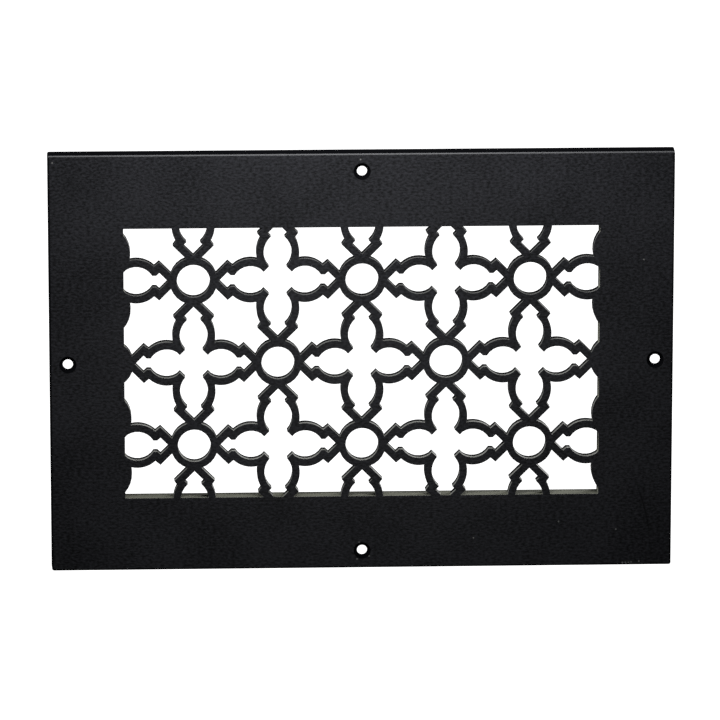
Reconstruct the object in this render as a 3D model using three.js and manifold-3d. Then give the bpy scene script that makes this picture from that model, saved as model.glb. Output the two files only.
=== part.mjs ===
// Decorative vent cover, one casting: a plain flat border round pierced gothic fretwork.
// Millimetres, +Z up. The front faces -Y, the back lies in the plane y = 0, and the
// origin is the middle of the back. Flat shapes are drawn as (x, z) and then given depth.
import * as THREE from "three";
import { mergeVertices } from "three/addons/utils/BufferGeometryUtils.js";
import Module from "manifold-3d";

// Panel
const WIDTH = 317.5;
const HEIGHT = 215.9;
const FRAME_DEPTH = 10.5;
const BORDER = 38.1;
// how much the outer edge slopes in from back to front, on each side
const DRAFT = 0.4;

// Hollow back of the border, between a rim at the outer edge and a rim round the opening
const SKIN = 3;
const OUTER_RIM = 5;
const INNER_RIM = 4;

// Screw holes, one in the middle of each side
const SCREW_INSET = 9.5;
const SCREW_HOLE_RADIUS = 2.6;
const COUNTERSINK_RADIUS = 4.1;
const COUNTERSINK_DEPTH = 1.4;

// Fretwork: rings and four-petalled flowers take turns on a square grid
const PITCH = 85.4;
const FRET_DEPTH = 6.35;
const BAR_WIDTH = 3.8;
const RING_HOLE_RADIUS = 8.4;
const RING_WIDTH = 3.65;

// Petals, as shares of the distance from a flower's centre to a ring's centre
// distance from the flower's centre to the blunt end of the cusp between two petals
const CUSP_AT = 0.192;
// The petals that lie across differ a little from the upright ones. Lengths run along the
// petal from the flower's centre, halves are measured from its middle line, and the overshoot
// is how far beyond that line the arc of each side is centred. Only the petals that lie
// across have a flat stretch at the neck.
const ACROSS = {
  lobeAt: 0.322,
  lobeRadius: 0.2225,
  lobeOvershoot: 0.047,
  neckHalf: 0.068,
  neckEnd: 0.560,
  shoulderHalf: 0.103,
  tipAt: 0.700,
  notchAt: 0.535,
  knuckleHalf: 0.231,
};
const UPRIGHT = {
  lobeAt: 0.335,
  lobeRadius: 0.2604,
  lobeOvershoot: 0.0935,
  neckHalf: 0.0805,
  shoulderHalf: 0.120,
  tipAt: 0.689,
  notchAt: 0.518,
  knuckleHalf: 0.243,
};

// Fineness of round stretches
const LOBE_STEPS = 8;
const RING_STEPS = 28;
const RING_EDGE_STEPS = 4;
const SCREW_STEPS = 32;

// Worked out from the sizes above
const OPENING_WIDTH = WIDTH - 2 * BORDER;
const OPENING_HEIGHT = HEIGHT - 2 * BORDER;
const HALF_PITCH = PITCH / 2;
const RING_RADIUS = RING_HOLE_RADIUS + RING_WIDTH;
// how far a cutting shape runs past the faces that it cuts
const PAST = 1;

const wasm = await Module();
wasm.setup();

// x, y and z for each corner of a mesh
const COORDINATES = 3;

// A closed three.js geometry as a solid that can be joined and cut
function solid(geometry) {
  geometry.deleteAttribute("normal");
  geometry.deleteAttribute("uv");
  const merged = mergeVertices(geometry, 1e-4);
  const vertProperties = new Float32Array(merged.attributes.position.array);
  const triVerts = new Uint32Array(merged.index.array);
  return new wasm.Manifold(new wasm.Mesh({ numProp: COORDINATES, vertProperties, triVerts }));
}

function toGeometry(body) {
  const mesh = body.getMesh();
  const corners = new Float32Array(mesh.vertProperties);
  const geometry = new THREE.BufferGeometry();
  geometry.setAttribute("position", new THREE.BufferAttribute(corners, COORDINATES));
  geometry.setIndex(new THREE.BufferAttribute(new Uint32Array(mesh.triVerts), 1));
  return geometry;
}

function rectangle(width, height) {
  const shape = new THREE.Shape();
  shape.moveTo(-width / 2, -height / 2);
  shape.lineTo(width / 2, -height / 2);
  shape.lineTo(width / 2, height / 2);
  shape.lineTo(-width / 2, height / 2);
  shape.closePath();
  return shape;
}

// A prism of one or more flat shapes, from one distance off the wall to another
function prism(shapes, from, to) {
  const geometry = new THREE.ExtrudeGeometry(shapes, { depth: to - from, bevelEnabled: false });
  return solid(geometry.translate(0, 0, from));
}

// The block that the border is cut from: an extrusion whose bevel is as deep as the frame,
// which makes the sloped outer edge, with the part behind the wall plane cut away
function draftedBlock() {
  const geometry = new THREE.ExtrudeGeometry(rectangle(WIDTH, HEIGHT), {
    depth: PAST,
    bevelEnabled: true,
    bevelThickness: FRAME_DEPTH,
    bevelSize: DRAFT,
    bevelOffset: -DRAFT,
    bevelSegments: 1,
  });
  const behind = prism(rectangle(WIDTH + 2 * PAST, HEIGHT + 2 * PAST), -FRAME_DEPTH - 2 * PAST, 0);
  return solid(geometry.translate(0, 0, -PAST)).subtract(behind);
}

// The hollow behind the border: a flat ring between the two rims
function hollowBack() {
  const ring = rectangle(WIDTH - 2 * OUTER_RIM, HEIGHT - 2 * OUTER_RIM);
  ring.holes.push(rectangle(OPENING_WIDTH + 2 * INNER_RIM, OPENING_HEIGHT + 2 * INNER_RIM));
  return prism(ring, -PAST, FRAME_DEPTH - SKIN);
}

// A countersunk hole on the distance axis, its mouth at the front face
function screwHole(x, z) {
  const slope = (COUNTERSINK_RADIUS - SCREW_HOLE_RADIUS) / COUNTERSINK_DEPTH;
  const profile = [
    new THREE.Vector2(0, -PAST),
    new THREE.Vector2(SCREW_HOLE_RADIUS, -PAST),
    new THREE.Vector2(SCREW_HOLE_RADIUS, FRAME_DEPTH - COUNTERSINK_DEPTH),
    new THREE.Vector2(COUNTERSINK_RADIUS + slope * PAST, FRAME_DEPTH + PAST),
    new THREE.Vector2(0, FRAME_DEPTH + PAST),
  ];
  const geometry = new THREE.LatheGeometry(profile, SCREW_STEPS).rotateX(Math.PI / 2);
  return solid(geometry.translate(x, z, 0));
}

function border() {
  let body = draftedBlock();
  body = body.subtract(prism(rectangle(OPENING_WIDTH, OPENING_HEIGHT), -PAST, FRAME_DEPTH + PAST));
  body = body.subtract(hollowBack());
  const screwX = WIDTH / 2 - SCREW_INSET;
  const screwZ = HEIGHT / 2 - SCREW_INSET;
  for (const side of [-1, 1]) {
    body = body.subtract(screwHole(side * screwX, 0));
    body = body.subtract(screwHole(0, side * screwZ));
  }
  return body;
}

// The shorter arc about a centre, from the direction of one point to that of another
function arc(centre, radius, start, end, steps) {
  const from = Math.atan2(start.y - centre.y, start.x - centre.x);
  const to = Math.atan2(end.y - centre.y, end.x - centre.x);
  return new THREE.ArcCurve(centre.x, centre.y, radius, from, to, from > to).getPoints(steps);
}

// Centre of the arc that bounds one side of a petal's lobe
function lobeCentre(petal) {
  return new THREE.Vector2(petal.lobeAt, -petal.lobeOvershoot).multiplyScalar(HALF_PITCH);
}

function outerRadius(petal) {
  return petal.lobeRadius * HALF_PITCH + BAR_WIDTH;
}

// Where the outer arc of a petal meets the outer arc of the next petal
function outerCorner(petal, next) {
  const own = lobeCentre(petal);
  const other = lobeCentre(next);
  const line = new THREE.Vector2(other.y, other.x).sub(own);
  const apart = line.length();
  const along = (outerRadius(petal) ** 2 - outerRadius(next) ** 2 + apart ** 2) / (2 * apart);
  const aside = Math.sqrt(outerRadius(petal) ** 2 - along ** 2);
  const outwards = new THREE.Vector2(line.y, -line.x).setLength(aside);
  return own.add(line.setLength(along)).add(outwards);
}

// One side of a petal's opening: cusp, lobe, neck, shoulder, tip.
// x runs along the petal from the flower's centre, y from its middle line.
function petalInside(petal) {
  const centre = lobeCentre(petal);
  const radius = petal.lobeRadius * HALF_PITCH;
  const tipAt = petal.tipAt * HALF_PITCH;
  const neckHalf = petal.neckHalf * HALF_PITCH;
  const shoulderHalf = petal.shoulderHalf * HALF_PITCH;
  const cuspSide = BAR_WIDTH / 2 / Math.SQRT2;
  const cuspMiddle = CUSP_AT * HALF_PITCH / Math.SQRT2;
  const cuspCorner = new THREE.Vector2(cuspMiddle + cuspSide, cuspMiddle - cuspSide);
  const neckStart = new THREE.Vector2(
    centre.x + Math.sqrt(radius ** 2 - (neckHalf - centre.y) ** 2),
    neckHalf,
  );
  const flatNeck = petal.neckEnd ? [new THREE.Vector2(petal.neckEnd * HALF_PITCH, neckHalf)] : [];
  const towardsCusp = cuspCorner.clone().sub(centre).setLength(radius).add(centre);
  return [
    cuspCorner,
    ...arc(centre, radius, towardsCusp, neckStart, LOBE_STEPS).slice(1),
    ...flatNeck,
    new THREE.Vector2(tipAt - shoulderHalf, shoulderHalf),
    new THREE.Vector2(tipAt, 0),
  ];
}

// The outer side of the same bars: from the corner where two petals meet, round the lobe,
// into the notch, out to the knuckle and down a 45 degree edge to the ring. A petal whose
// middle line is behind the border has no notch or knuckle, and its lobe runs straight on.
function petalOutside(petal, next, middleShows) {
  const centre = lobeCentre(petal);
  const radius = outerRadius(petal);
  const corner = outerCorner(petal, next);
  const notchAt = petal.notchAt * HALF_PITCH;
  const notch = new THREE.Vector2(
    notchAt,
    centre.y + Math.sqrt(radius ** 2 - (notchAt - centre.x) ** 2),
  );
  const onMiddle = new THREE.Vector2(centre.x + Math.sqrt(radius ** 2 - centre.y ** 2), 0);
  const edgeAt = petal.tipAt * HALF_PITCH + BAR_WIDTH * Math.SQRT2;
  const knuckleHalf = petal.knuckleHalf * HALF_PITCH;
  const knuckle = new THREE.Vector2(edgeAt - knuckleHalf, knuckleHalf);
  const gap = HALF_PITCH - edgeAt;
  const ringReach = (gap + Math.sqrt(2 * RING_RADIUS ** 2 - gap ** 2)) / 2;
  const onRing = new THREE.Vector2(HALF_PITCH - ringReach, ringReach - gap);
  if (!middleShows) {
    return [...arc(centre, radius, corner, onMiddle, LOBE_STEPS), onRing];
  }
  return [...arc(centre, radius, corner, notch, LOBE_STEPS), knuckle, onRing];
}

// A flower's opening: four petals, each turned by a quarter of a turn
function flowerOpening(centre) {
  const outline = [];
  [ACROSS, UPRIGHT, ACROSS, UPRIGHT].forEach((petal, quarter) => {
    const upper = petalInside(petal);
    const lower = upper.map((point) => new THREE.Vector2(point.x, -point.y));
    const loop = [...lower, ...upper.slice(0, -1).reverse()];
    for (const point of loop) {
      outline.push(point.rotateAround(new THREE.Vector2(), quarter * Math.PI / 2).add(centre));
    }
  });
  return new THREE.Shape(outline);
}

// The outer sides of a flower's petals, by the flower's place on the grid
function flowerSides(column, row) {
  return {
    across: petalOutside(ACROSS, UPRIGHT, Math.abs(row * HALF_PITCH) < OPENING_HEIGHT / 2),
    upright: petalOutside(UPRIGHT, ACROSS, Math.abs(column * HALF_PITCH) < OPENING_WIDTH / 2),
  };
}

// Half of the loop round the opening between two flowers and two rings: along the petal of
// the flower at (0, 0), round the ring at (1, 0) and up the petal of the flower at (1, 1)
function halfBetween(across, upright) {
  const ringCentre = new THREE.Vector2(HALF_PITCH, 0);
  const opposite = upright.map((point) => new THREE.Vector2(HALF_PITCH - point.y, HALF_PITCH - point.x));
  const ringEdge = arc(ringCentre, RING_RADIUS, across.at(-1), opposite.at(-1), RING_EDGE_STEPS);
  return [...across, ...ringEdge.slice(1, -1), ...opposite.reverse().slice(0, -1)];
}

// The other half is made the same way and turned through 180 degrees. Every second opening
// is the mirror image, because flowers and rings take turns.
function betweenOpening(column, row) {
  const mirrored = (column + row) % 2 !== 0;
  const near = flowerSides(mirrored ? column + 1 : column, row);
  const far = flowerSides(mirrored ? column : column + 1, row + 1);
  const turned = halfBetween(far.across, near.upright).map(
    (point) => new THREE.Vector2(HALF_PITCH - point.x, HALF_PITCH - point.y),
  );
  const outline = [...halfBetween(near.across, far.upright), ...turned].map((point) => new THREE.Vector2(
    (mirrored ? HALF_PITCH - point.x : point.x) + column * HALF_PITCH,
    point.y + row * HALF_PITCH,
  ));
  return new THREE.Shape(outline);
}

function ringHole(centre) {
  const circle = new THREE.ArcCurve(centre.x, centre.y, RING_HOLE_RADIUS, 0, 2 * Math.PI);
  return new THREE.Shape(circle.getPoints(RING_STEPS).slice(0, -1));
}

// Every opening of the grid that shows in the border's opening. A ring whose centre is
// behind the border keeps its metal.
function fretOpenings() {
  const columns = Math.ceil(OPENING_WIDTH / PITCH) + 1;
  const rows = Math.ceil(OPENING_HEIGHT / PITCH) + 1;
  const shapes = [];
  for (let column = -columns; column <= columns; column += 1) {
    for (let row = -rows; row <= rows; row += 1) {
      const centre = new THREE.Vector2(column * HALF_PITCH, row * HALF_PITCH);
      const ringShows = Math.abs(centre.x) < OPENING_WIDTH / 2 && Math.abs(centre.y) < OPENING_HEIGHT / 2;
      if ((column + row) % 2 === 0) {
        shapes.push(flowerOpening(centre));
      } else if (ringShows) {
        shapes.push(ringHole(centre));
      }
      shapes.push(betweenOpening(column, row));
    }
  }
  return shapes;
}

// The fretwork is flush with the border's front and thinner than the frame. Its edge runs
// half way into the rim round the opening.
function fretwork() {
  const back = FRAME_DEPTH - FRET_DEPTH;
  const slab = prism(rectangle(OPENING_WIDTH + INNER_RIM, OPENING_HEIGHT + INNER_RIM), back, FRAME_DEPTH);
  return slab.subtract(prism(fretOpenings(), back - PAST, FRAME_DEPTH + PAST));
}

function ventCover() {
  const geometry = toGeometry(border().add(fretwork()));
  // drawn facing +Z, turned to face -Y
  geometry.rotateX(Math.PI / 2);
  const blackPaint = new THREE.MeshStandardMaterial({ color: 0x252628, roughness: 0.55, metalness: 0 });
  const mesh = new THREE.Mesh(geometry, blackPaint);
  mesh.name = "vent_cover";
  return mesh;
}

const part = new THREE.Group();
part.add(ventCover());

export default part;
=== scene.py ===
# %% [markdown]
# # A pierced vent cover in black paint
# The real object is one casting: a plain border with four screw holes, and gothic fretwork
# cut through its middle. The solid of the casting is loaded from the imported model. What is
# added here is what the paint and the foundry give it: softened edges and a pebbled black
# coat. On top of that come an olive grey on the walls of the opening, and painted highlights
# and painted shade on the edges and walls.

# %% Load the imported model
import math

import bmesh
import bpy
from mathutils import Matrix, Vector


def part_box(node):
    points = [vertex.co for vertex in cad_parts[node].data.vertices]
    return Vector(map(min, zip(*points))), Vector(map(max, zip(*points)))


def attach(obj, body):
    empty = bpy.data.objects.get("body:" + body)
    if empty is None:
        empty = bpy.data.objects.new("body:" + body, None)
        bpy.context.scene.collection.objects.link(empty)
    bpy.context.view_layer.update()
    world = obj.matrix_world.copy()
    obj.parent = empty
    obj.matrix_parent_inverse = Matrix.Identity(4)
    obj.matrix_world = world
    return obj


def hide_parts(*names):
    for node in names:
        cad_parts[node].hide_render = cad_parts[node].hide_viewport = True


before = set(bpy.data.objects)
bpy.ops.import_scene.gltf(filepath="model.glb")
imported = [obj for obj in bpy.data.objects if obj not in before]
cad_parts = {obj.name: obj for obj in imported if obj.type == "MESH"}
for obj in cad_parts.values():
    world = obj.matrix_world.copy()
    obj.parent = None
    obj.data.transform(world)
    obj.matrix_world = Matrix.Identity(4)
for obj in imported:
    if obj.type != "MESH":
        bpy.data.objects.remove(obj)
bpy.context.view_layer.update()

# %% [markdown]
# ## The casting
# Each edge of a painted casting is a little round, and the roundness is what catches the
# light. The edges could be rounded with a Bevel modifier, but that takes one width for the
# whole piece. Here a bmesh takes a copy of the solid, and its bevel operator is used once
# for each kind of edge: the outer edge, the fretwork, the screw holes and the back.
# The solid comes as loose triangles, so they are joined first, and triangles that lie in
# one plane are dissolved into whole faces. A bevel is only even on faces like that.

# %% A whole copy of the solid
MILLIMETRE = 0.001
LOW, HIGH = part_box("vent_cover")
FRONT = LOW.y
SAME_PLACE = 0.005 * MILLIMETRE
FLAT_ANGLE = math.radians(1)


def millimetres(length):
    return round(length / MILLIMETRE, 2)


def joined_copy(node):
    copy = bmesh.new()
    copy.from_mesh(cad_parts[node].data)
    bmesh.ops.remove_doubles(copy, verts=copy.verts, dist=SAME_PLACE)
    bmesh.ops.dissolve_limit(copy, angle_limit=FLAT_ANGLE, verts=copy.verts, edges=copy.edges)
    return copy


casting = joined_copy("vent_cover")
print("casting:", len(casting.verts), "corners,", len(casting.faces), "whole faces")

# %% [markdown]
# ## Which edges are rounded
# An edge is told by where it lies and by the angle between its two faces. The outer edge
# of the front takes the widest rounding, the outline of the fretwork and the mouths of the
# screw holes a narrower one, and the back the narrowest. The corners of the fretwork's
# pattern stay crisp, as they are on the real one.

# %% Round the edges
SHARP_ANGLE = math.radians(32)
OUTER_ROUND = 1.0 * MILLIMETRE
FRET_ROUND = 0.3 * MILLIMETRE
MOUTH_ROUND = 0.3 * MILLIMETRE
BACK_ROUND = 0.25 * MILLIMETRE
NEAR = 1.0 * MILLIMETRE
SCREW_REACH = 6 * MILLIMETRE
BORDER = 38.1 * MILLIMETRE
SCREW_INSET = 9.5 * MILLIMETRE
SCREW_CENTRES = [
    Vector((side * (HIGH.x - SCREW_INSET), 0, 0)) for side in (-1, 1)
] + [Vector((0, 0, side * (HIGH.z - SCREW_INSET))) for side in (-1, 1)]


def middle(edge):
    return (edge.verts[0].co + edge.verts[1].co) / 2


def on_front(point):
    return point.y < FRONT + SAME_PLACE * 2


def at_outer_side(point):
    return abs(point.x) > HIGH.x - NEAR or abs(point.z) > HIGH.z - NEAR


def at_screw(point):
    flat = Vector((point.x, 0, point.z))
    return any((flat - centre).length < SCREW_REACH for centre in SCREW_CENTRES)


def kind_of(edge):
    """The name of the rounding that an edge takes, or None."""
    if len(edge.link_faces) != 2 or edge.calc_face_angle() < SHARP_ANGLE:
        return None
    start, end = (vert.co for vert in edge.verts)
    along_depth = abs(start.x - end.x) < SAME_PLACE and abs(start.z - end.z) < SAME_PLACE
    reaches_front = on_front(start) or on_front(end)
    if at_screw(middle(edge)):
        return "mouth" if on_front(start) and on_front(end) else None
    if at_outer_side(middle(edge)):
        return "outer" if reaches_front else ("back" if edge.is_convex else None)
    if on_front(start) and on_front(end):
        return "fret"
    return "back" if edge.is_convex and not along_depth else None


def round_edges(body, kind, width, segments):
    chosen = [edge for edge in body.edges if kind_of(edge) == kind]
    bmesh.ops.bevel(
        body,
        geom=chosen,
        offset=width,
        offset_type="OFFSET",
        segments=segments,
        profile=0.5,
        affect="EDGES",
        clamp_overlap=True,
        material=-1,
        loop_slide=False,
    )
    print(kind, "edges rounded:", len(chosen))


round_edges(casting, "outer", OUTER_ROUND, segments=4)
round_edges(casting, "fret", FRET_ROUND, segments=3)
round_edges(casting, "mouth", MOUTH_ROUND, segments=2)
round_edges(casting, "back", BACK_ROUND, segments=2)

# %% [markdown]
# ## A piece that rides on the part
# The rounded mesh becomes an object that stands for the solid. Its faces are shaded
# smooth, and a Weighted Normal modifier lets the large flat faces decide the shading where
# they meet the narrow rounded ones, so the front stays flat to the eye.

# %% Make the piece
SMOOTH_ANGLE = math.radians(38)


def piece_from(body, name):
    mesh = bpy.data.meshes.new(name)
    body.to_mesh(mesh)
    body.free()
    mesh.shade_smooth()
    mesh.set_sharp_from_angle(angle=SMOOTH_ANGLE)
    piece = bpy.data.objects.new(name, mesh)
    bpy.context.scene.collection.objects.link(piece)
    even = piece.modifiers.new("Even shading", "WEIGHTED_NORMAL")
    even.mode = "FACE_AREA"
    even.keep_sharp = True
    return piece


cover = piece_from(casting, "painted_vent_cover")
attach(cover, "root")
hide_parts("vent_cover")
print("cover:", len(cover.data.vertices), "corners,", len(cover.data.polygons), "faces")

# %% [markdown]
# ## Writing a finish as sums
# A material in Blender is a net of nodes, and sums in it are Math nodes. To keep them
# readable, a small class wraps one output, so that 1 - mask * 0.5 makes the nodes by
# itself. Every other node is made by one method, which takes its type, its settings and
# what goes into its sockets.

# %% The paint bench
# A Mix node has sockets of the same name for each kind of data. These carry the colours.
COLOUR_A = 6
COLOUR_B = 7
COLOUR_OUT = 2


class Signal:
    """One output of a node, which can stand in a sum."""

    def __init__(self, bench, socket):
        self.bench = bench
        self.socket = socket

    def __add__(self, other):
        return self.bench.maths("ADD", self, other)

    def __radd__(self, other):
        return self.bench.maths("ADD", other, self)

    def __sub__(self, other):
        return self.bench.maths("SUBTRACT", self, other)

    def __rsub__(self, other):
        return self.bench.maths("SUBTRACT", other, self)

    def __mul__(self, other):
        return self.bench.maths("MULTIPLY", self, other)

    def __rmul__(self, other):
        return self.bench.maths("MULTIPLY", other, self)


class PaintBench:
    """The nodes of one finish, or of the studio's air."""

    def __init__(self, finish):
        self.finish = finish
        self.finish.use_nodes = True
        self.tree = self.finish.node_tree
        self.tree.nodes.clear()

    def node(self, kind, settings=None, inputs=None, output=0):
        made = self.tree.nodes.new(kind)
        for name, value in (settings or {}).items():
            setattr(made, name, value)
        for name, value in (inputs or {}).items():
            if isinstance(value, Signal):
                self.tree.links.new(value.socket, made.inputs[name])
            else:
                made.inputs[name].default_value = value
        return Signal(self, made.outputs[output]) if made.outputs else None

    def maths(self, operation, *values):
        return self.node("ShaderNodeMath", {"operation": operation}, dict(enumerate(values)))

    def ramp(self, value, low, high):
        """0 where the value is low, 1 where it is high, and smooth between them."""
        return self.node(
            "ShaderNodeMapRange",
            {"interpolation_type": "SMOOTHSTEP"},
            {"Value": value, "From Min": low, "From Max": high},
        )

    def noise(self, place, size, detail=2.0, roughness=0.5):
        """Noise whose grains are about the given size, in metres."""
        return self.node(
            "ShaderNodeTexNoise",
            {},
            {"Vector": place, "Scale": 1 / size, "Detail": detail, "Roughness": roughness},
        )

    def blend(self, share, first, second):
        """A colour that goes from the first to the second as the share goes from 0 to 1."""
        return self.node(
            "ShaderNodeMix",
            {"data_type": "RGBA"},
            {"Factor": share, COLOUR_A: first, COLOUR_B: second},
            output=COLOUR_OUT,
        )


# %% [markdown]
# ## Black paint on cast metal
# The real coat is a satin black with a fine pebble all over. The walls and edges carry
# painted highlights and painted shade, and are dull where nothing rubs them.
# Each such place could be a material of its own on a few faces, but then its borders would
# follow the faces. Here each place is a mask, a number from 0 to 1 worked out from object
# coordinates and from the way the surface faces, so the finish stays put on the piece.

# %% Where a point is, and which way it faces
paint = PaintBench(bpy.data.materials.new("black_paint"))
TURNED_UP = (0.1, 0.5)
TURNED_LEFT = (0.5, 0.9)

place = paint.node("ShaderNodeTexCoord", output="Object")
across, depth, height = (
    paint.node("ShaderNodeSeparateXYZ", {}, {"Vector": place}, output=axis) for axis in "XYZ"
)
facing = paint.node("ShaderNodeTexCoord", output="Normal")
facing_x, facing_y, facing_z = (
    paint.node("ShaderNodeSeparateXYZ", {}, {"Vector": facing}, output=axis) for axis in "XYZ"
)
off_middle = paint.maths("ABSOLUTE", across)
off_centre = paint.maths("ABSOLUTE", height)
turned_away = 1 - paint.maths("ABSOLUTE", facing_y)
upward = paint.ramp(facing_z, *TURNED_UP)
leftward = paint.ramp(0 - facing_x, *TURNED_LEFT)
print("nodes that tell place and facing:", len(paint.tree.nodes))

# %% [markdown]
# ## Walls and edges
# The border's own walls in the opening are coloured olive grey, and a paler olive is painted
# as a highlight on those that face left, at the right. The walls of the fretwork carry painted
# shade, a deep black, towards the back, and a painted highlight, a light line close to the
# front that is faint at the top and broad at the bottom. The outer edge has a painted
# highlight along the top and painted shade, black, elsewhere, and the outer sides are painted
# shade black and dull. Each mask is a product of simpler ones: where the place is, times how
# far the surface is turned away from the front.

# %% Masks for bands round the opening and the rim
OPENING_HALF_WIDTH = HIGH.x - BORDER
OPENING_HALF_HEIGHT = HIGH.z - BORDER
PAST_OPENING = (1.0, 1.5)
ON_OPENING_WALL = (-0.6, -0.3)
ON_RIM = (-1.7, -1.5)


def beyond(half_width, half_height, step):
    """1 outside a rectangle about the centre, with a soft step that is given in millimetres."""
    start, end = (distance * MILLIMETRE for distance in step)
    return paint.maths(
        "MAXIMUM",
        paint.ramp(off_middle, half_width + start, half_width + end),
        paint.ramp(off_centre, half_height + start, half_height + end),
    )


outside = beyond(OPENING_HALF_WIDTH, OPENING_HALF_HEIGHT, PAST_OPENING)
at_border = beyond(OPENING_HALF_WIDTH, OPENING_HALF_HEIGHT, ON_OPENING_WALL)
at_rim = beyond(HIGH.x, HIGH.z, ON_RIM)
opening = [millimetres(2 * half) for half in (OPENING_HALF_WIDTH, OPENING_HALF_HEIGHT)]
print("opening, in millimetres:", opening)

# %% Masks for the walls and edges
WALL_TURN = (0.55, 0.95)
EDGE_TURN = (0.02, 0.25)
PAST_EDGE_TURN = (0.6, 0.95)
FIRST_TURN = (0.003, 0.05)

side = paint.ramp(turned_away, *WALL_TURN)
edge = paint.ramp(turned_away, *EDGE_TURN) * (1 - paint.ramp(turned_away, *PAST_EDGE_TURN))
wall = side * (1 - outside)
border_wall = wall * at_border
inner_wall = wall * (1 - at_border)
fret_edge = edge * (1 - outside)
# The outer sides and the lower edges of the rim are painted a deep black as shade, and the top of
# the rim's rounding gets a painted highlight
outer_side = side * at_rim
upper_edge = edge * at_rim * upward
lower_edge = paint.ramp(turned_away, *FIRST_TURN) * at_rim * (1 - upward)
print("nodes with the masks for walls and edges:", len(paint.tree.nodes))

# %% The painted highlight line on the fretwork's walls
LINE_START = 1.4 * MILLIMETRE
LINE_END = 2.4 * MILLIMETRE
LINE_GROWTH = 1.1 * MILLIMETRE
FAINTEST_LINE = 0.35

low_down = 1 - paint.ramp(height, -OPENING_HALF_HEIGHT, OPENING_HALF_HEIGHT)
line_depth = depth - low_down * LINE_GROWTH
near_front = 1 - paint.ramp(line_depth, FRONT + LINE_START, FRONT + LINE_END)
fret_line = inner_wall * near_front * (FAINTEST_LINE + low_down * (1 - FAINTEST_LINE))
# The back of the fretwork's walls, where a deep black is painted as shade
painted_shade_wall = inner_wall * (1 - near_front)
print("light line:", millimetres(LINE_END), "mm deep at the top of the opening")

# %% [markdown]
# ## Screw holes, nicks and a hair line
# The countersinks are painted a deep black all round, painted shade in these hollows, and
# made dull. The coat has a few pale nicks, most of them along the lower edge and round the
# lowest screw hole, and one faint curved hair line on the right. They are marks in the
# colour alone, too slight to model. A nick is told by the distance to its centre, and the
# hair line by the distance to the circle that it follows.

# %% Masks for the screw holes
MOUTH_REACH = 4.3 * MILLIMETRE
MOUTH_DEPTH = 2.9 * MILLIMETRE
SOFT = 0.2 * MILLIMETRE


def off_screw(along, sideways, screw_at):
    """The square of the distance to the nearer of two screws on one axis."""
    gap = along - screw_at
    return gap * gap + sideways * sideways


from_screw = paint.maths(
    "MINIMUM",
    off_screw(off_middle, height, HIGH.x - SCREW_INSET),
    off_screw(off_centre, across, HIGH.z - SCREW_INSET),
)
in_reach = 1 - paint.ramp(from_screw, (MOUTH_REACH - SOFT) ** 2, (MOUTH_REACH + SOFT) ** 2)
# The countersinks, which are painted a deep black as shade in their hollows
mouth = in_reach * (1 - paint.ramp(depth, FRONT + MOUTH_DEPTH - SOFT, FRONT + MOUTH_DEPTH))
print("dull black up to", millimetres(MOUTH_REACH), "mm from the middle of each screw hole")

# %% A mask for the nicks
NICK_REACH = 0.65 * MILLIMETRE
# Each nick's place on the front, across and up from the middle, in millimetres
NICKS = [
    (-156.1, 104.0),
    (-0.8, 104.6),
    (-1.5, -94.1),
    (-2.6, -102.9),
    (3.6, -101.4),
    (133.5, -106.2),
    (135.1, -106.2),
    (136.6, -106.2),
    (138.0, -106.0),
    (142.0, -105.6),
    (130.0, -88.6),
    (100.6, -84.3),
    (57.0, -92.4),
    (143.0, 52.0),
]


def distance_to(x, z):
    """How far a point is from a place on the front, given in millimetres."""
    spot = (x * MILLIMETRE, FRONT, z * MILLIMETRE)
    return paint.node(
        "ShaderNodeVectorMath", {"operation": "DISTANCE"}, {0: place, 1: spot}, output="Value"
    )


nicks = 0
for x, z in NICKS:
    nicks = paint.maths("MAXIMUM", nicks, 1 - paint.ramp(distance_to(x, z), 0, NICK_REACH))
print("nicks:", len(NICKS))

# %% A mask for the hair line
HAIR_CENTRE = (27.4, -108.3)
HAIR_RADIUS = 121.1 * MILLIMETRE
HAIR_REACH = 0.8 * MILLIMETRE
HAIR_TOP = -62 * MILLIMETRE
HAIR_FOOT = -95 * MILLIMETRE
HAIR_FADE = 10 * MILLIMETRE

off_hair = paint.maths("ABSOLUTE", distance_to(*HAIR_CENTRE) - HAIR_RADIUS)
below_top = 1 - paint.ramp(height, HAIR_TOP - HAIR_FADE, HAIR_TOP)
above_foot = paint.ramp(height, HAIR_FOOT, HAIR_FOOT + HAIR_FADE)
on_right = paint.ramp(across, OPENING_HALF_WIDTH, OPENING_HALF_WIDTH + NEAR)
hair = (1 - paint.ramp(off_hair, 0, HAIR_REACH)) * below_top * above_foot * on_right
print("hair line:", millimetres(HAIR_TOP - HAIR_FOOT), "mm high")

# %% [markdown]
# ## The pebble
# The grains of the coat are about a millimetre high and nearly twice as wide. They could be
# modelled, but at that size they belong in the bump, and the same noise darkens the hollows
# between them. A second, broad noise keeps the coat from looking even.

# %% The noises
GRAIN_STRETCH = (0.55, 1, 1)
GRAIN_SIZE = 1.05 * MILLIMETRE
BLOTCH_SIZE = 34 * MILLIMETRE
PEBBLE_SHARE = 0.8
GRAIN_CONTRAST = (0.31, 0.69)
PEBBLE_HEIGHT = 0.14 * MILLIMETRE

grain = paint.node("ShaderNodeVectorMath", {"operation": "MULTIPLY"}, {0: place, 1: GRAIN_STRETCH})
pebble = paint.noise(grain, GRAIN_SIZE, detail=2.0, roughness=0.6)
blotches = paint.noise(place, BLOTCH_SIZE, detail=3.0)
both = pebble * PEBBLE_SHARE + blotches * (1 - PEBBLE_SHARE)
grains = paint.ramp(both, *GRAIN_CONTRAST)
bump = paint.node(
    "ShaderNodeBump", {}, {"Strength": 1.0, "Distance": PEBBLE_HEIGHT, "Height": pebble}
)
print("grains:", millimetres(GRAIN_SIZE), "mm, blotches:", millimetres(BLOTCH_SIZE), "mm")

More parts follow.
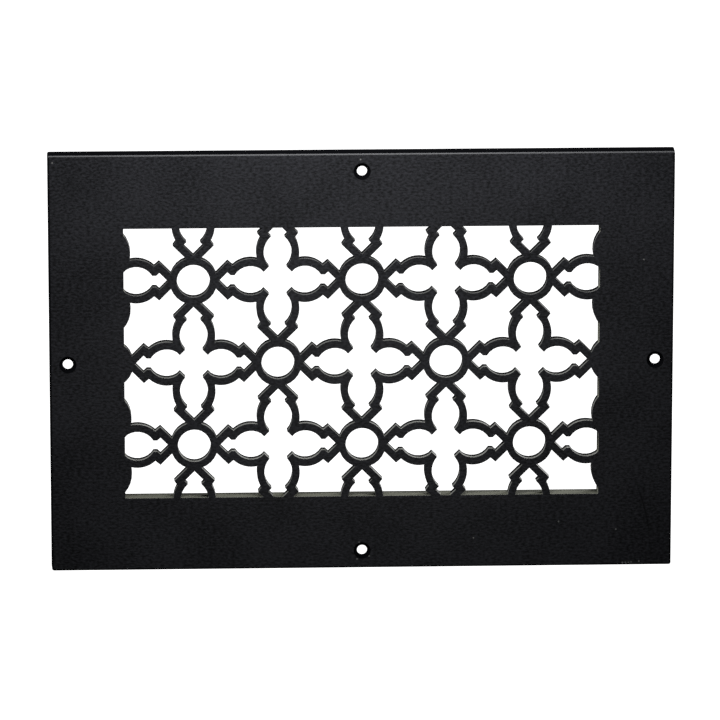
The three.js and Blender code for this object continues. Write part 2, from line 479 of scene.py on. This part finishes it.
# %% [markdown]
# ## Colour and gloss
# The colour starts as the coat's own black, and then each mask lays its tone over what is
# there, the later ones on top. The tones on the fretwork's edges and the light walls don't
# cover fully, so that the pebble still shows in them.

# %% Colour
SATIN_BLACK = (0.0185, 0.0190, 0.0225, 1)
DEEP_BLACK = (0.0020, 0.0021, 0.0026, 1)
# A painted highlight for the rounded front edges of the fretwork
EDGE_HIGHLIGHT_GREY = (0.050, 0.051, 0.054, 1)
# A painted highlight for the top of the outer rim's rounding
RIM_HIGHLIGHT_GREY = (0.056, 0.057, 0.060, 1)
NICK_GREY = (0.140, 0.140, 0.135, 1)
WALL_OLIVE = (0.105, 0.107, 0.084, 1)
# A paler olive, a painted highlight on the opening's walls that face left
HIGHLIGHT_OLIVE = (0.230, 0.232, 0.190, 1)
# A painted highlight line for the front of the fretwork's walls
HIGHLIGHT_LINE_GREY = (0.185, 0.187, 0.173, 1)
NEARLY_ALL = 0.9
MOSTLY = 0.8

colour = paint.blend(grains, DEEP_BLACK, SATIN_BLACK)
# The greys and the paler olive below are painted highlights; the deep black on the walls' backs,
# the outer sides, the lower edges and the countersinks is painted shade
for share, tone in (
    (hair * NEARLY_ALL, DEEP_BLACK),
    (fret_edge * MOSTLY, EDGE_HIGHLIGHT_GREY),
    (border_wall * NEARLY_ALL, WALL_OLIVE),
    (border_wall * leftward * NEARLY_ALL, HIGHLIGHT_OLIVE),
    (fret_line * NEARLY_ALL, HIGHLIGHT_LINE_GREY),
    (painted_shade_wall, DEEP_BLACK),
    (outer_side, DEEP_BLACK),
    (lower_edge, DEEP_BLACK),
    (upper_edge, RIM_HIGHLIGHT_GREY),
    (nicks, NICK_GREY),
    (mouth, DEEP_BLACK),
):
    colour = paint.blend(share, colour, tone)
print("nodes up to the colour:", len(paint.tree.nodes))

# %% Gloss
COAT_ROUGHNESS = 0.47
BLOTCH_ROUGHNESS = 0.08
WALL_ROUGHNESS = 0.2
DARK_WALL_GLOSS = 0.3

roughness = COAT_ROUGHNESS + blotches * BLOTCH_ROUGHNESS
roughness = roughness + wall * WALL_ROUGHNESS - painted_shade_wall * DARK_WALL_GLOSS
print("roughness of the coat:", COAT_ROUGHNESS, "and up to", BLOTCH_ROUGHNESS, "more in blotches")

# %% [markdown]
# ## Two shaders in one finish
# The countersinks, the lower edges and the outer sides hardly shine at all. How much a
# surface shines is one number for a whole shader, so the satin coat is mixed with a second,
# dull black shader, and a mask says how much of it shows.

# %% Mix the two
COAT_SHINE = 0.2
DULL_SIDES = 0.93

coat = paint.node(
    "ShaderNodeBsdfPrincipled",
    {},
    {
        "Base Color": colour,
        "Roughness": roughness,
        "Specular IOR Level": COAT_SHINE,
        "Normal": bump,
    },
)
dull = paint.node(
    "ShaderNodeBsdfPrincipled",
    {},
    {"Base Color": DEEP_BLACK, "Roughness": 1.0, "Specular IOR Level": 0.0},
)
dull_side = paint.maths("MAXIMUM", outer_side * DULL_SIDES, lower_edge * MOSTLY)
dull_share = paint.maths("MAXIMUM", mouth, dull_side)
mixed = paint.node("ShaderNodeMixShader", {}, {0: dull_share, 1: coat, 2: dull})
paint.node("ShaderNodeOutputMaterial", {}, {"Surface": mixed})
cover.data.materials.append(paint.finish)
print("finish nodes:", len(paint.tree.nodes))

# %% [markdown]
# ## Floor and light
# The cover is shown on white, as black as it is. On a white floor, a black piece is hard to
# light: the floor throws so much light back that the black turns grey. The floor could be
# made grey and the picture brightened later, but that costs the blacks too. Instead the
# floor is hidden from the light that bounces, and each lamp is shielded, so that it shines
# on the floor alone or on the cover alone. The floor lies well below, out of the way.

# %% The floor
FLOOR_HEIGHT = -0.35
FLOOR_REACH = 12
FLOOR_WHITE = (0.86, 0.86, 0.86, 1)
FLOOR_ROUGHNESS = 0.9


def pale_floor():
    shape = bmesh.new()
    bmesh.ops.create_grid(shape, x_segments=1, y_segments=1, size=FLOOR_REACH)
    bmesh.ops.translate(shape, verts=shape.verts, vec=(0, 0, FLOOR_HEIGHT))
    mesh = bpy.data.meshes.new("pale_floor")
    shape.to_mesh(mesh)
    shape.free()
    floor = bpy.data.objects.new("pale_floor", mesh)
    bpy.context.scene.collection.objects.link(floor)
    bench = PaintBench(bpy.data.materials.new("pale_floor"))
    white = bench.node(
        "ShaderNodeBsdfPrincipled",
        {},
        {"Base Color": FLOOR_WHITE, "Roughness": FLOOR_ROUGHNESS},
    )
    bench.node("ShaderNodeOutputMaterial", {}, {"Surface": white})
    mesh.materials.append(bench.finish)
    return floor


floor = pale_floor()
floor.visible_diffuse = False
floor.visible_glossy = False
print("floor at", FLOOR_HEIGHT, "m")

# %% [markdown]
# ## The lamps
# A small lamp close above the front gives the border its fall from light at the top to dark
# at the bottom. A weak one straight in front fills the fretwork, one far to the left draws
# the light lines on its walls, and one behind shows the hollow back. A wide, even light
# from above, for the floor alone, makes the ground white.

# %% Lamps and their shields
OVERCAST = math.radians(60)


def lamp_at(name, light, at, towards, lit_piece):
    """Places a lamp and shields it, so that its own light falls on one piece."""
    lamp = bpy.data.objects.new(name, light)
    lamp.location = at
    lamp.rotation_euler = (Vector(towards) - Vector(at)).to_track_quat("-Z", "Y").to_euler()
    lamp.visible_camera = False
    bpy.context.scene.collection.objects.link(lamp)
    lit = bpy.data.collections.new(name + " shines on")
    lit.objects.link(lit_piece)
    lamp.light_linking.receiver_collection = lit
    print(name, "shines on", lit_piece.name)


def soft_lamp(name, at, towards, size, power):
    light = bpy.data.lights.new(name, "AREA")
    light.shape = "RECTANGLE"
    light.size, light.size_y = size
    light.energy = power
    lamp_at(name, light, at, towards, cover)


def even_light(name, power):
    light = bpy.data.lights.new(name, "SUN")
    light.angle = OVERCAST
    light.energy = power
    lamp_at(name, light, (0, 0, 1), (0, 0, 0), floor)


soft_lamp(
    "near_lamp", at=(0, -0.15, 0.28), towards=(0, 0, 0.02), size=(0.28, 0.06), power=1.53
)
soft_lamp(
    "front_lamp", at=(0, -0.2, -0.03), towards=(0, 0, -0.03), size=(0.2, 0.1), power=0.075
)
soft_lamp("side_lamp", at=(-0.8, -0.12, 0.45), towards=(0, 0, 0), size=(0.2, 0.4), power=7)
soft_lamp("back_lamp", at=(0.6, 0.35, 0.1), towards=(0, 0, 0), size=(0.3, 0.14), power=9)
even_light("ground_lamp", power=5)

# %% [markdown]
# ## The air of the studio
# The air gives the cover a little light from all round. Seen by the camera it is white, so
# that the ground has no horizon from any side.

# %% Air
AIR_LIGHT = 0.025
AIR_SEEN = 1.2
AIR_COLOUR = (0.92, 0.96, 1, 1)

air = PaintBench(bpy.data.worlds.new("studio"))
seen = air.node("ShaderNodeLightPath", output="Is Camera Ray")
strength = AIR_LIGHT + seen * (AIR_SEEN - AIR_LIGHT)
haze = air.node("ShaderNodeBackground", {}, {"Color": AIR_COLOUR, "Strength": strength})
air.node("ShaderNodeOutputWorld", {}, {"Surface": haze})
bpy.context.scene.world = air.finish
bpy.context.scene.view_settings.view_transform = "Standard"
print("air:", AIR_LIGHT, "on the cover,", AIR_SEEN, "to the camera")

# %% [markdown]
# ## The camera
# The photograph looks down on the cover by about twelve degrees and a little from its left.
# Its outline hardly narrows, so the camera stands well back with a long lens.

# %% Camera
CAMERA_AZIMUTH = math.radians(2.5)
CAMERA_ELEVATION = math.radians(12.2)
CAMERA_DISTANCE = 3.0
CAMERA_LENS = 295.4
SENSOR_WIDTH = 36
FARTHEST_SEEN = 40
AIM = Vector((-1.07, -10.21, 1.12)) * MILLIMETRE

towards_camera = Vector(
    (
        -math.sin(CAMERA_AZIMUTH) * math.cos(CAMERA_ELEVATION),
        -math.cos(CAMERA_AZIMUTH) * math.cos(CAMERA_ELEVATION),
        math.sin(CAMERA_ELEVATION),
    )
)
camera = bpy.data.objects.new("camera", bpy.data.cameras.new("camera"))
camera.data.lens = CAMERA_LENS
camera.data.sensor_width = SENSOR_WIDTH
camera.data.clip_end = FARTHEST_SEEN
camera.location = AIM + towards_camera * CAMERA_DISTANCE
camera.rotation_mode = "QUATERNION"
camera.rotation_quaternion = (-towards_camera).to_track_quat("-Z", "Y")
bpy.context.scene.collection.objects.link(camera)
bpy.context.scene.camera = camera
print("camera at", tuple(round(part, 3) for part in camera.location))

# %% [markdown]
# ## The last step
# The rounding only takes metal away, so the box of the dressed part lies within the box of
# the solid. The scene is brought up to date at the end.

# %% Bring the scene up to date
bpy.context.view_layer.update()
